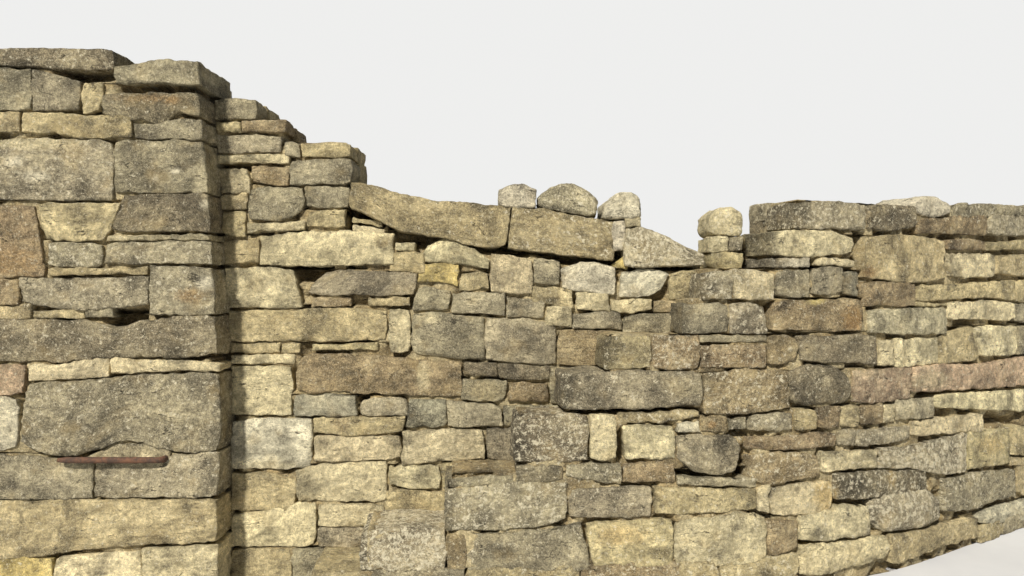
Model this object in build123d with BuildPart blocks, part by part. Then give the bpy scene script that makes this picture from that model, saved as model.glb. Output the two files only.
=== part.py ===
from build123d import *
import math
import os

# Ruined stretch of a limestone retaining wall, in millimetres.
# A tall pier stands at the left, a recessed wall fills the middle, and a curved wing
# wall runs off to the right, its near end racked back in steps.
# X runs along the wall to the right, Y back into the bank, Z up from the ground.
# The origin is at ground level, on the pier's centre line from front to back.

os.makedirs("parts", exist_ok=True)

# Pier: dressed blocks in level courses
pier_length = 1905
pier_left = -1000
pier_depth = 900
pier_course_heights = (290, 350, 305, 530, 100, 295, 275, 230, 270, 400, 180, 210, 135)
pier_top_rise = 100
pier_top_length = 1190
plumb_courses = 4
face_batter = 1 / 40
return_batter = 1 / 13

# Recessed wall between the pier and the wing
recess_depth = 250
recess_course_heights = (250, 250, 320, 340, 140, 370, 260, 250)
bond_inset = 205

# Ragged stack of courses that is left standing beside the pier
stack_course_heights = (240, 180, 180, 200, 100, 150, 160)
stack_course_lengths = (1030, 1030, 1030, 1030, 1030, 575, 365)

# Tilted slabs on the recessed wall and the packing course that they lie on; the first
# slab has lost its lower left corner
slab_tilt = 8.1
slab_bed_thin_end = 52
slab_gap = 15
slab_thickness = 288
slab_depth = 520
slab_overhang = 25
slab_lengths = (1112, 725)
slab_lost_corner = (240, 115)
slab_lost_slope = 75
slab_joint = 6

# Loose stones that still lie on the recessed wall, right of the slabs
end_stone_depth = 420
end_stone_gap = 40
end_stone_sizes = ((630, 270), (240, 440))
capstone_size = (270, 330, 200)
top_stone_sizes = ((265, 240, 120), (425, 300, 170))
top_stone_gap = 14
top_stone_lap = 95
top_stone_setback = 40

# Wing wall: straight at its stepped end, then curving back to a straight tail
wing_gap = 695
wing_forward = 250
wing_heading = 4.5
wing_lead = 2200
wing_radius = 4700
wing_turn = 29.5
wing_tail = 2000
wing_thickness = 700
wing_batter = 1 / 20
wing_course_heights = (250, 250, 350, 370, 260, 260, 240, 200, 250, 240)
wing_step_lengths = (0, 300, 540, 445, 310, 285, 540, 145, 535, 205)

# Weathered arris along the bed joints
arris_depth = 12

# Rusty iron cramp, let into the face of the pier under its largest block
cramp_course = 3
cramp_diameter = 44
cramp_reach = 685
cramp_tip = 26
cramp_taper = 60
cramp_leg = 110
cramp_inset = 355
cramp_stand_off = 12
cramp_drop = 30
socket_clearance = 0.5

pier_back = pier_depth / 2
pier_right = pier_left + pier_length
bond_line = pier_right - bond_inset
plumb_height = sum(pier_course_heights[:plumb_courses])
stack_right = bond_line + stack_course_lengths[0]

# Along the wall: the slabs follow the stack, the loose stones follow the slabs, and
# the recessed wall ends under the last of them
tilt = math.radians(slab_tilt)
slab_run = sum(slab_lengths) + slab_joint
slab_left = stack_right + slab_gap
slab_right = slab_left + slab_run * math.cos(tilt)
end_stone_lengths = [length for length, height in end_stone_sizes]
recess_end = slab_right + slab_joint + sum(end_stone_lengths) + end_stone_gap

# Where the foot of the wing's face starts
wing_start = (pier_right + wing_gap, -pier_depth / 2 - wing_forward)


def levels(heights, start=0):
    """Bottom and top of each course, from the lowest one up."""
    bottom = start
    spans = []
    for height in heights:
        spans.append((bottom, bottom + height))
        bottom += height
    return spans


pier_levels = levels(pier_course_heights)
recess_levels = levels(recess_course_heights)
recess_top = recess_levels[-1][1]
stack_levels = levels(stack_course_heights, recess_top)
wing_levels = levels(wing_course_heights)


def pier_front(height):
    """Y of the pier's battered face at a height."""
    return -pier_depth / 2 + face_batter * height


def pier_return(height):
    """X of the pier's right side, plumb at first and battered above."""
    return pier_right - return_batter * max(0, height - plumb_height)


def recess_front(height):
    """Y of the recessed wall's face, parallel to the pier's face."""
    return pier_front(height) + recess_depth


def level_edges(faces):
    """The edges of some faces that lie level, along the bed joints."""
    return faces.edges().filter_by(lambda edge: abs((edge % 0.5).Z) < 0.001)


# Pier courses, each one battered in front and bonded into the wall behind
for number, (bottom, top) in enumerate(pier_levels, start=1):
    with BuildPart() as pier_course:
        for height in (bottom, top):
            with BuildSketch(Plane.XY.offset(height)):
                with BuildLine():
                    Polyline(
                        (pier_left, pier_front(height)),
                        (pier_return(height), pier_front(height)),
                        (pier_return(height), recess_front(height)),
                        (bond_line, recess_front(height)),
                        (bond_line, pier_back),
                        (pier_left, pier_back),
                        close=True,
                    )
                make_face()
        loft()
        if number == len(pier_levels):
            # The left part of the top stands a little higher
            for height in (top, top + pier_top_rise):
                with BuildSketch(Plane.XY.offset(height)):
                    with Locations((pier_left, pier_back)):
                        top_depth = pier_back - pier_front(height)
                        Rectangle(pier_top_length, top_depth, align=(Align.MIN, Align.MAX))
            loft()
        chamfer(level_edges(pier_course.faces().sort_by(Axis.Y)[:1]), arris_depth)
        if number == cramp_course:
            # Socket for the cramp's leg
            socket_height = top - cramp_drop
            leg_start = pier_front(socket_height) - cramp_stand_off
            with BuildSketch(Plane.XZ.offset(-leg_start - cramp_leg)):
                with Locations((pier_right - cramp_inset, socket_height)):
                    Circle(cramp_diameter / 2 + socket_clearance)
            extrude(amount=cramp_leg + arris_depth, mode=Mode.SUBTRACT)
    pier_course.part.label = f"pier_course_{number:02d}"
    export_step(pier_course.part, f"parts/pier_course_{number:02d}.step")

# Recessed wall, in level courses from the pier to its end behind the wing
for number, (bottom, top) in enumerate(recess_levels, start=1):
    with BuildPart() as recess_course:
        for height in (bottom, top):
            with BuildSketch(Plane.XY.offset(height)):
                with BuildLine():
                    Polyline(
                        (bond_line, recess_front(height)),
                        (recess_end, recess_front(height)),
                        (recess_end, pier_back),
                        (bond_line, pier_back),
                        close=True,
                    )
                make_face()
        loft()
        chamfer(level_edges(recess_course.faces().sort_by(Axis.Y)[:1]), arris_depth)
    recess_course.part.label = f"recess_course_{number:02d}"
    export_step(recess_course.part, f"parts/recess_course_{number:02d}.step")

# Courses left standing beside the pier; the upper ones stop short
for number, (bottom, top) in enumerate(stack_levels, start=1):
    right = bond_line + stack_course_lengths[number - 1]
    with BuildPart() as stack_course:
        for height in (bottom, top):
            with BuildSketch(Plane.XY.offset(height)):
                with BuildLine():
                    Polyline(
                        (bond_line, recess_front(height)),
                        (right, recess_front(height)),
                        (right, pier_back),
                        (bond_line, pier_back),
                        close=True,
                    )
                make_face()
        loft()
        chamfer(level_edges(stack_course.faces().sort_by(Axis.Y)[:1]), arris_depth)
    stack_course.part.label = f"stack_course_{number:02d}"
    export_step(stack_course.part, f"parts/stack_course_{number:02d}.step")

# Packing course under the slabs: its top falls to the right at the slabs' tilt
bed_front = recess_front(recess_top)
bed_rise = (slab_right - stack_right) * math.tan(tilt)
with BuildPart() as slab_bed:
    with BuildSketch(Plane.XZ.offset(-bed_front)):
        with BuildLine():
            Polyline(
                (stack_right, recess_top),
                (slab_right, recess_top),
                (slab_right, recess_top + slab_bed_thin_end),
                (stack_right, recess_top + slab_bed_thin_end + bed_rise),
                close=True,
            )
        make_face()
    extrude(amount=-(pier_back - bed_front))
slab_bed.part.label = "slab_bed"
export_step(slab_bed.part, "parts/slab_bed.step")

# The two tilted slabs, drawn on a plane that leans with their bed
slab_plane = Plane(
    origin=(
        slab_left,
        bed_front - slab_overhang,
        recess_top + slab_bed_thin_end + slab_run * math.sin(tilt),
    ),
    x_dir=(math.cos(tilt), 0, -math.sin(tilt)),
    z_dir=(0, -1, 0),
)
lean = slab_thickness * math.tan(tilt)
left_slab_length, right_slab_length = slab_lengths
lost_length, lost_height = slab_lost_corner

with BuildPart() as left_slab:
    with BuildSketch(slab_plane):
        with BuildLine():
            Polyline(
                (lost_length, 0),
                (left_slab_length, 0),
                (left_slab_length - lean, slab_thickness),
                (-lean, slab_thickness),
                (-lost_height * math.tan(tilt), lost_height),
                (lost_length - slab_lost_slope, lost_height),
                close=True,
            )
        make_face()
    extrude(amount=-slab_depth)
    chamfer(left_slab.faces().sort_by(Axis.Y)[0].edges(), arris_depth)
left_slab.part.label = "left_slab"
export_step(left_slab.part, "parts/left_slab.step")

right_slab_start = left_slab_length + slab_joint
with BuildPart() as right_slab:
    with BuildSketch(slab_plane):
        with BuildLine():
            Polyline(
                (right_slab_start, 0),
                (right_slab_start + right_slab_length, 0),
                (right_slab_start + right_slab_length - lean, slab_thickness),
                (right_slab_start - lean, slab_thickness),
                close=True,
            )
        make_face()
    extrude(amount=-slab_depth)
    chamfer(right_slab.faces().sort_by(Axis.Y)[0].edges(), arris_depth)
right_slab.part.label = "right_slab"
export_step(right_slab.part, "parts/right_slab.step")

# Small stones lying on the right slab
with BuildPart() as top_stones:
    start = left_slab_length - top_stone_lap
    for length, depth, height in top_stone_sizes:
        with BuildSketch(slab_plane.offset(-top_stone_setback)):
            with Locations((start, slab_thickness)):
                Rectangle(length, height, align=(Align.MIN, Align.MIN))
        extrude(amount=-depth)
        start += length + top_stone_gap
top_stones.part.label = "top_stones"
export_step(top_stones.part, "parts/top_stones.step")

# Stones at the far end of the recessed wall, the first with a smaller one on it
end_stone_left = slab_right + slab_joint
with BuildPart() as end_stones:
    start = end_stone_left
    for length, height in end_stone_sizes:
        with BuildSketch(Plane.XY.offset(recess_top)):
            with Locations((start, bed_front)):
                Rectangle(length, end_stone_depth, align=(Align.MIN, Align.MIN))
        extrude(amount=height)
        start += length + end_stone_gap
end_stones.part.label = "end_stones"
export_step(end_stones.part, "parts/end_stones.step")

with BuildPart() as end_capstone:
    length, depth, height = capstone_size
    with BuildSketch(Plane.XY.offset(recess_top + end_stone_sizes[0][1])):
        with Locations((end_stone_left, bed_front)):
            Rectangle(length, depth, align=(Align.MIN, Align.MIN))
    extrude(amount=height)
end_capstone.part.label = "end_capstone"
export_step(end_capstone.part, "parts/end_capstone.step")

# Plan of the wing's face at ground level: a lead, an arc and a tail
arc_length = math.radians(wing_turn) * wing_radius


def wing_angle(station):
    """Heading of the wing's face, in radians, at a distance along its foot."""
    turned = min(max(station - wing_lead, 0), arc_length) / wing_radius
    return math.radians(wing_heading) + turned


def wing_point(station):
    """Plan point on the foot of the wing's face, up to the end of the arc."""
    first = math.radians(wing_heading)
    straight = min(station, wing_lead)
    here = wing_angle(station)
    x = wing_start[0] + straight * math.cos(first)
    y = wing_start[1] + straight * math.sin(first)
    x += wing_radius * (math.sin(here) - math.sin(first))
    y += wing_radius * (math.cos(first) - math.cos(here))
    return (x, y)


# Space that the recessed wall takes up behind the stepped end of the wing
with BuildPart() as recess_envelope:
    for height in (0, recess_top):
        with BuildSketch(Plane.XY.offset(height)):
            with BuildLine():
                Polyline(
                    (bond_line, recess_front(height)),
                    (recess_end, recess_front(height)),
                    (recess_end, pier_back),
                    (bond_line, pier_back),
                    close=True,
                )
            make_face()
    loft()

# Wing courses, each one swept along the curve from its own step to the far end
station = 0
for number, (bottom, top) in enumerate(wing_levels, start=1):
    station += wing_step_lengths[number - 1]
    start = wing_point(station)
    heading = wing_angle(station)
    along = (math.cos(heading), math.sin(heading))
    with BuildPart() as wing_course:
        with BuildLine():
            if station < wing_lead:
                bend_start = wing_point(wing_lead)
                Line(start, bend_start)
                first = wing_heading
                turn = wing_turn
            else:
                bend_start = start
                first = math.degrees(heading)
                turn = wing_heading + wing_turn - first
            first_way = (math.cos(math.radians(first)), math.sin(math.radians(first)))
            bend = JernArc(bend_start, first_way, wing_radius, turn)
            Line(bend @ 1, bend @ 1 + (bend % 1) * wing_tail)
        with BuildSketch(Plane(origin=(*start, 0), x_dir=(-along[1], along[0], 0), z_dir=(*along, 0))):
            with BuildLine():
                Polyline(
                    (wing_batter * bottom + arris_depth, bottom),
                    (wing_thickness, bottom),
                    (wing_thickness, top),
                    (wing_batter * top + arris_depth, top),
                    (wing_batter * top, top - arris_depth),
                    (wing_batter * bottom, bottom + arris_depth),
                    close=True,
                )
            make_face()
        sweep()
        for neighbour in (recess_envelope, slab_bed, end_stones, end_capstone):
            add(neighbour.part, mode=Mode.SUBTRACT)
    wing_course.part.label = f"wing_course_{number:02d}"
    export_step(wing_course.part, f"parts/wing_course_{number:02d}.step")

# Cramp: a round bar along the face, drawn down to a tip at one end, its other end
# bent back into the wall
cramp_height = pier_levels[cramp_course - 1][1] - cramp_drop
cramp_axis = pier_front(cramp_height) - cramp_stand_off - cramp_diameter / 2
cramp_bend = cramp_stand_off + cramp_diameter / 2
leg_x = pier_right - cramp_inset
taper_end = leg_x - cramp_reach + cramp_taper
leg_end = pier_front(cramp_height) - cramp_stand_off + cramp_leg
with BuildPart() as iron_cramp:
    with BuildLine(Plane.XY.offset(cramp_height)):
        straight = Line((taper_end, cramp_axis), (leg_x - cramp_bend, cramp_axis))
        bend = JernArc(straight @ 1, straight % 1, cramp_bend, 90)
        Line(bend @ 1, (leg_x, leg_end))
    with BuildSketch(Plane(origin=straight @ 0, z_dir=straight % 0)):
        Circle(cramp_diameter / 2)
    sweep()
    with BuildSketch(Plane(origin=straight @ 0, z_dir=straight % 0)):
        Circle(cramp_diameter / 2)
    with BuildSketch(Plane(origin=straight @ 0, z_dir=straight % 0).offset(-cramp_taper)):
        Circle(cramp_tip / 2)
    loft()
iron_cramp.part.label = "iron_cramp"
export_step(iron_cramp.part, "parts/iron_cramp.step")
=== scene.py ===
import math

import bpy
import numpy as np
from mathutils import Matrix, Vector


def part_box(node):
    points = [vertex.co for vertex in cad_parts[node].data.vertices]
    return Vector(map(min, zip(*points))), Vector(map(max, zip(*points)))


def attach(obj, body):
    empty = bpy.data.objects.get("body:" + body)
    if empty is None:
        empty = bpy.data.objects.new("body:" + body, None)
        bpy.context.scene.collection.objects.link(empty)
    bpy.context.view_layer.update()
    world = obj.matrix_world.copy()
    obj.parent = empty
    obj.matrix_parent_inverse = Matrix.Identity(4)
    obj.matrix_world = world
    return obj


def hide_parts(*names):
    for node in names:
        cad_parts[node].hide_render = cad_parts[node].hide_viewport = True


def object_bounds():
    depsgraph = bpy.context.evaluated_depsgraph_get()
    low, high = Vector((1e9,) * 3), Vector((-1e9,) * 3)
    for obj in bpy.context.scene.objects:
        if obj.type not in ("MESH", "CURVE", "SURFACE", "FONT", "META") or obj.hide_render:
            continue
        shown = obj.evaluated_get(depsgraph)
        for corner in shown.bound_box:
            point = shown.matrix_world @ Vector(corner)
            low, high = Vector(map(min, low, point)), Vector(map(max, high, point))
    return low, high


# Weathered limestone retaining wall, stone by stone, in metres: a tall pier at the left,
# a recessed wall with a ragged stack of courses and two tilted slabs on it, and a curved
# wing wall whose near end is racked back in steps.

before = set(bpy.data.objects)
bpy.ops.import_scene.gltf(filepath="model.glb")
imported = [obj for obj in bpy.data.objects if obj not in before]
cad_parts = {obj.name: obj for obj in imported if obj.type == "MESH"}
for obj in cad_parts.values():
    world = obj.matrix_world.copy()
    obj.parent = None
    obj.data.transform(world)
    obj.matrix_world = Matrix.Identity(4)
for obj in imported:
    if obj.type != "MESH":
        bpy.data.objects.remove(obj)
cad_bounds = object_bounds()

# The photograph's camera: level, looking straight at the recess
IMAGE_WIDTH = 1024
IMAGE_HEIGHT = 576
FOCAL_PIXELS = 790
CAMERA = (2.86, -5.67, 2.05)
SENSOR = 36.0

# Faces of the wall, as the CAD courses have them
PIER_LOW, PIER_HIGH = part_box("pier_course_01")
PIER_LEFT = PIER_LOW.x
PIER_RIGHT = PIER_HIGH.x
PIER_FRONT = PIER_LOW.y
WALL_BACK = PIER_HIGH.y
PLUMB_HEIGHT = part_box("pier_course_04")[1].z
RETURN_BATTER = 1 / 13
FACE_BATTER = 1 / 40
RECESS_FRONT = PIER_FRONT + 0.25
RECESS_LOW, RECESS_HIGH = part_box("recess_course_08")
PIER_TOP_SPLIT = PIER_LEFT + 1.19
PIER_TOP_STEP = 0.1

# The wing's plan: a straight lead, an arc and a straight tail, with a step at the near
# end of each course
WING_START = (PIER_RIGHT + 0.695, PIER_FRONT - 0.25)
WING_HEADING = math.radians(4.5)
WING_LEAD = 2.2
WING_RADIUS = 4.7
WING_TURN = math.radians(29.5)
WING_TAIL = 2.0
WING_THICKNESS = 0.7
WING_BATTER = 1 / 20
WING_LENGTH = WING_LEAD + WING_RADIUS * WING_TURN + WING_TAIL
WING_STEPS = np.cumsum((0, 0.3, 0.54, 0.445, 0.31, 0.285, 0.54, 0.145, 0.535, 0.205))
WING_BACK_START = 3.1
WING_END = WING_LENGTH - 1.0

# Pixels where the wing's lowest course comes into the photograph and where its foot is
# hidden, and the height up to which it is
FOOT_SHOWS = (799, 560)
FOOT_COVERED = (982, 540)
COVERED_HEIGHT = 0.13

# How far the stones reach in: amid a face, on the back, at the pier's right side, under
# the slabs and on the wing
FACE_DEPTH = 0.2
BACK_DEPTH = 0.3
RETURN_DEPTH = 0.42
BED_DEPTH = 0.5
WING_DEPTH = 0.37
WING_DEEPEST = 0.55
PIER_HALF = (WALL_BACK - PIER_FRONT) / 2 + 0.012
SLAB_DEPTH = 0.51
TOP_STONE_DEPTH = 0.26
END_STONE_DEPTH = 0.38

# Mesh cells on stones that the photograph shows, on their open sides, on the sides at the
# wall's ends, at its back and inside it, on stones that the photograph doesn't show, and
# on the front and the sides of the small rubble between stones
FINE_CELL = 0.0175
OPEN_CELL = 0.036
END_CELL = 0.05
BACK_CELL = 0.08
HIDDEN_CELL = 0.2
COARSE_CELL = 0.055
RUBBLE_CELL = 0.035
RUBBLE_SIDE_CELL = 0.25

# How far the small rubble between the stones lies behind their faces, its rounding, and
# its roughness beside a stone's
RUBBLE_INSET = 0.04
RUBBLE_RADIUS = 0.01
RUBBLE_ROUGH = 0.3

# How deep the open gaps between stones are, and the rubble's own dents
GAP_DEPTH = 0.16
RUBBLE_DENT = 0.06

# Relief of a stone: broad and fine bumps, thin beds, and pieces broken off along its edges
BROAD_BUMP = 0.014
FINE_BUMP = 0.010
BED_HEIGHT = 0.003
SPALL_DEPTH = 0.02
SPALL_REACH = 0.022

# How far a face leans and how far it lies behind its neighbours, at most
FACE_LEAN = 0.02
FACE_SCATTER = 0.012

# How far the joints wander, over a long way and over a short one
LONG_WANDER = 0.009
SHORT_WANDER = 0.007

# Beyond this depth the dents in a stone's face grow shallow, so that no rubble shows
FACE_DENT = 0.022
DENT_CUT = 0.85

# A stone's side that comes nearer to the face's end than this goes to the end
END_REACH = 0.12

# Within this margin of the CAD box the stones are pressed inwards
BOX_MARGIN = 0.012

# The thin end of the slabs' sloping bed
BED_THIN_END = 0.052

# The most that a corner of a stone is worn away, and how far from the corner it shows
CORNER_WEAR = 0.02
CORNER_REACH = 0.06

# How far from a stone's edge the painted shade along its joints reaches
EDGE_SHADE_REACH = 0.03

# Lightness of the stones, and of each of their channels, drawn between these
TONES = (0.95, 1.05)
HUES = (0.985, 1.015)
HIDDEN_TONES = (0.88, 1.06)

# Courses that the photograph doesn't show: the mean length of their stones, the height from
# which some are split into two, the share that is, and how far their joints lean
MEAN_LENGTH = 0.48
SPLIT_HEIGHT = 0.24
SPLIT_SHARE = 0.35
JOINT_LEAN = 0.015

# How far their joints are from even, as a share of their length, at what share of its
# height one is split, and the amounts of lichen on them
JOINT_SCATTER = 0.3
SPLITS = (0.35, 0.65)
HIDDEN_LICHEN = (0, 0, 0.4)

# How much further than half way back the pier's front stones reach, in even and odd courses
PIER_BOND = (-0.12, 0.14)

# Stones that end this near to the pier's right side and left end are part of them, and the
# stack's stones that end beyond this X are open on top
NEAR_RETURN = 0.25
NEAR_END = 0.02
STACK_OPEN = 1.0

# How far below the CAD's top the pier's left top stones end, and the rubble under the top
# stones of the pier and the stack
TOP_GAP = 0.01
PIER_RUBBLE_GAP = 0.04
STACK_RUBBLE_GAP = 0.03

# The pier's rubble ends this far short of the recessed wall. More of it, this deep, laps
# over from in front of that wall.
PIER_RUBBLE_END = 0.06
PIER_RUBBLE_LAP = 0.1
PIER_RUBBLE_DEPTH = 0.3

# How far the wing's front stones reach past the recessed wall's face, and where its back
# stones end
WING_LAP = 0.03
WING_BACK_DEPTH = WING_THICKNESS - 0.36

# The cramp: its sides, the radius inside its bend, the length of its tapered tip and the
# tip's share of the width, the bar's share of the CAD's, and the height and size of the
# rust on it
CRAMP_SIDES = 20
CRAMP_BEND = 0.012
CRAMP_TAPER = 0.06
CRAMP_TIP = 0.6
CRAMP_SHARE = 0.94
CRAMP_RUST = 0.0022
CRAMP_RUST_SIZE = 0.03


def linear(red, green, blue):
    """A colour given as 0 to 255 in sRGB, as linear values."""
    values = np.array((red, green, blue)) / 255
    return np.where(values <= 0.04045, values / 12.92, ((values + 0.055) / 1.055) ** 2.4)


# Colours of the stones
TINTS = {
    "cream": linear(222, 207, 164),
    "buff": linear(201, 184, 139),
    "yellow": linear(224, 203, 132),
    "orange": linear(208, 181, 124),
    "rust": linear(176, 140, 90),
    "pink": linear(190, 165, 134),
    "brown": linear(162, 143, 108),
    "grey": linear(172, 161, 131),
    "dark": linear(132, 121, 97),
    "blue": linear(166, 160, 135),
    "white": linear(224, 214, 184),
    "soot": linear(50, 46, 38),
    "rubble": linear(160, 141, 102),
    "mortar": linear(208, 192, 150),
}


# Noise

def gradient_table(seed):
    generator = np.random.default_rng(seed)
    directions = generator.normal(size=(256, 3))
    directions /= np.linalg.norm(directions, axis=1)[:, None]
    return generator.permutation(256), directions


PERMUTATION, DIRECTIONS = gradient_table(7)


def noise(points):
    """Smooth gradient noise, about -0.6 to 0.6, at an array of points."""
    cell = np.floor(points).astype(int)
    inside = points - cell
    fade = inside * inside * inside * (inside * (inside * 6 - 15) + 10)
    total = np.zeros(len(points))
    for corner in np.ndindex(2, 2, 2):
        lattice = (cell + corner) & 255
        index = PERMUTATION[lattice[:, 0]]
        index = PERMUTATION[(index + lattice[:, 1]) & 255]
        index = PERMUTATION[(index + lattice[:, 2]) & 255]
        offset = inside - corner
        weight = np.prod(np.where(corner, fade, 1 - fade), axis=1)
        total += weight * np.einsum("ij,ij->i", DIRECTIONS[index], offset)
    return total


def fractal(points, size, octaves, gain=0.5):
    """Noise of several sizes added up; the largest bumps are size metres across."""
    total = np.zeros(len(points))
    strength = 1.0
    for octave in range(octaves):
        total += strength * noise(points / size + 17.3 * octave)
        size *= 0.5
        strength *= gain
    return total


def varied(points, size):
    """Noise that is spread out to about -1 to 1."""
    return np.clip(fractal(points, size, 3) * 2.4, -1, 1)


def smooth_step(low, high, value):
    share = np.clip((value - low) / (high - low), 0, 1)
    return share * share * (3 - 2 * share)


# Faces that the stones are laid on. place() takes metres along the face, up it and into
# it, and seen() takes a pixel of the photograph to metres along and up. ends() gives the
# ends at a height, for a stone whose middle is at another height.

def sight(pixel_x, pixel_y):
    """How far right and up a pixel's line of sight goes with each metre ahead."""
    return (pixel_x - IMAGE_WIDTH / 2) / FOCAL_PIXELS, (IMAGE_HEIGHT / 2 - pixel_y) / FOCAL_PIXELS


def pier_return(up):
    """X of the pier's right side, plumb at first and battered above."""
    return PIER_RIGHT - RETURN_BATTER * np.maximum(0, up - PLUMB_HEIGHT)


class FlatFace:
    """A flat face; along runs to the right, as seen from in front."""

    def __init__(self, origin, along, batter=0.0, ends=None):
        self.origin = origin
        self.along = along
        self.batter = batter
        self.ends = ends

    def place(self, along, up, into):
        back = into + self.batter * up
        x = self.origin[0] + self.along[0] * along - self.along[1] * back
        y = self.origin[1] + self.along[1] * along + self.along[0] * back
        return np.stack((x, y, up), axis=-1)

    def seen(self, pixel_x, pixel_y):
        right, rise = sight(pixel_x, pixel_y)
        reach = self.origin[1] + self.batter * CAMERA[2] - CAMERA[1]
        distance = reach / (1 - self.batter * rise)
        return CAMERA[0] + distance * right, CAMERA[2] + distance * rise


def wing_heading(station):
    bent = np.clip(station - WING_LEAD, 0, WING_RADIUS * WING_TURN)
    return WING_HEADING + bent / WING_RADIUS


def wing_foot(station):
    """Plan point on the foot of the wing's face."""
    here = wing_heading(station)
    lead = np.minimum(station, WING_LEAD)
    tail = np.maximum(station - WING_LEAD - WING_RADIUS * WING_TURN, 0)
    last = WING_HEADING + WING_TURN
    x = WING_START[0] + lead * math.cos(WING_HEADING) + tail * math.cos(last)
    y = WING_START[1] + lead * math.sin(WING_HEADING) + tail * math.sin(last)
    x = x + WING_RADIUS * (np.sin(here) - math.sin(WING_HEADING))
    y = y + WING_RADIUS * (math.cos(WING_HEADING) - np.cos(here))
    return x, y


def wing_place(station, up, depth):
    x, y = wing_foot(station)
    heading = wing_heading(station)
    return np.stack((x - np.sin(heading) * depth, y + np.cos(heading) * depth, up + 0 * x), axis=-1)


class WingFace:
    """The wing's curved front."""

    def ends(self, up, middle):
        return WING_STEPS[course_number("wing_course", middle) - 1], WING_LENGTH

    def place(self, along, up, into):
        return wing_place(along, up, into + WING_BATTER * up)

    def seen(self, pixel_x, pixel_y):
        right, rise = sight(pixel_x, pixel_y)
        stations = np.linspace(-0.3, WING_LENGTH + 0.3, 600)
        up = CAMERA[2]
        for _ in range(5):
            points = self.place(stations, np.full_like(stations, up), 0)
            across = (points[:, 0] - CAMERA[0]) / (points[:, 1] - CAMERA[1])
            station = float(np.interp(right, across, stations))
            here = self.place(np.array([station]), np.array([up]), 0)[0]
            up = CAMERA[2] + rise * (here[1] - CAMERA[1])
        return station, up


class WingBack:
    """The wing's plumb back, where along runs the other way, in negative stations."""

    def place(self, along, up, into):
        return wing_place(-along, up, WING_THICKNESS - into)


def course_levels(prefix):
    """Bottom and top of each course of one part of the wall."""
    names = [name for name in sorted(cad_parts) if name.startswith(prefix)]
    return [(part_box(name)[0].z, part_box(name)[1].z) for name in names]


COURSED_PARTS = ("pier_course", "recess_course", "stack_course", "wing_course")
LEVELS = {prefix: course_levels(prefix) for prefix in COURSED_PARTS}


def course_number(prefix, up):
    """Number of the course that a height lies in."""
    tops = [top for bottom, top in LEVELS[prefix]]
    return min(int(np.searchsorted(tops, up)) + 1, len(tops))


def pier_ends(up, middle):
    return PIER_LEFT, pier_return(up)


def recess_ends(up, middle):
    return pier_return(up), RECESS_HIGH.x


pier_face = FlatFace((0, PIER_FRONT), (1, 0), FACE_BATTER, pier_ends)
recess_face = FlatFace((0, RECESS_FRONT), (1, 0), FACE_BATTER, recess_ends)
slab_face = FlatFace((0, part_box("left_slab")[0].y), (1, 0))
back_face = FlatFace((0, WALL_BACK), (-1, 0))
wing_face = WingFace()
wing_back = WingBack()


# Stones

class Pile:
    """Stones gathered into one mesh, with a colour layer that has the way from a stone's edge as its red,
    which the material turns into painted shade along the joints, and the amount of lichen as its green."""

    def __init__(self):
        self.parts = []
        self.count = 0

    def add(self, points, quads, triangles, tints, grain, edge_shade_and_lichen):
        self.parts.append((points, quads + self.count, triangles + self.count, tints, grain, edge_shade_and_lichen))
        self.count += len(points)


piles = {name: Pile() for name in sorted(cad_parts)}


def cell_lines(length, radius, cell):
    """Places of the mesh lines across a stone: close together where its edge is round."""
    rim = radius * np.array((0.0, 0.35, 0.7))
    middle = max(int(round((length - 2 * radius) / cell)), 1)
    inner = np.linspace(radius, length - radius, middle + 1)
    return np.concatenate((rim, inner, length - rim[::-1])) - length / 2


def depth_lines(depth, radius, cell, whole):
    """Depths of the mesh rings on a stone's sides."""
    rim = radius * np.array((0.0, 0.4))
    steps = max(int(round((depth - 2 * radius) / cell)), 1)
    inner = np.linspace(radius, depth - radius if whole else depth, steps + 1)
    return np.concatenate((rim, inner, depth - rim[::-1] if whole else []))


def with_depth(flat, depth):
    return np.column_stack((flat, np.full(len(flat), depth)))


def between(ring, next_ring):
    return np.stack((ring, next_ring, np.roll(next_ring, -1), np.roll(ring, -1)), axis=-1)


def stone_shell(lines_x, lines_y, lines_in, whole):
    """A closed block: a grid in front, rings going back, and a fan or a grid behind."""
    columns = len(lines_x)
    rows = len(lines_y)
    grid = np.stack(np.meshgrid(lines_x, lines_y, indexing="ij"), axis=-1).reshape(-1, 2)
    index = np.arange(columns * rows).reshape(columns, rows)
    front = (index[:-1, :-1], index[1:, :-1], index[1:, 1:], index[:-1, 1:])
    front = np.stack(front, axis=-1).reshape(-1, 4)
    rim = np.concatenate((index[:-1, 0], index[-1, :-1], index[:0:-1, -1], index[0, :0:-1]))
    points = [with_depth(grid, 0)]
    quads = [front]
    ring = rim
    count = len(grid)
    for depth in lines_in[1:-1] if whole else lines_in[1:]:
        points.append(with_depth(grid[rim], depth))
        next_ring = np.arange(count, count + len(rim))
        quads.append(between(ring, next_ring))
        ring = next_ring
        count += len(rim)
    if whole:
        points.append(with_depth(grid, lines_in[-1]))
        quads.append(between(ring, rim + count))
        quads.append(front[:, ::-1] + count)
        fan = np.zeros((0, 3), int)
    else:
        points.append(with_depth(grid[rim].mean(0)[None], lines_in[-1]))
        fan = np.stack((ring, np.full(len(ring), count), np.roll(ring, -1)), axis=-1)
    return np.concatenate(points), np.concatenate(quads), fan


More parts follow.
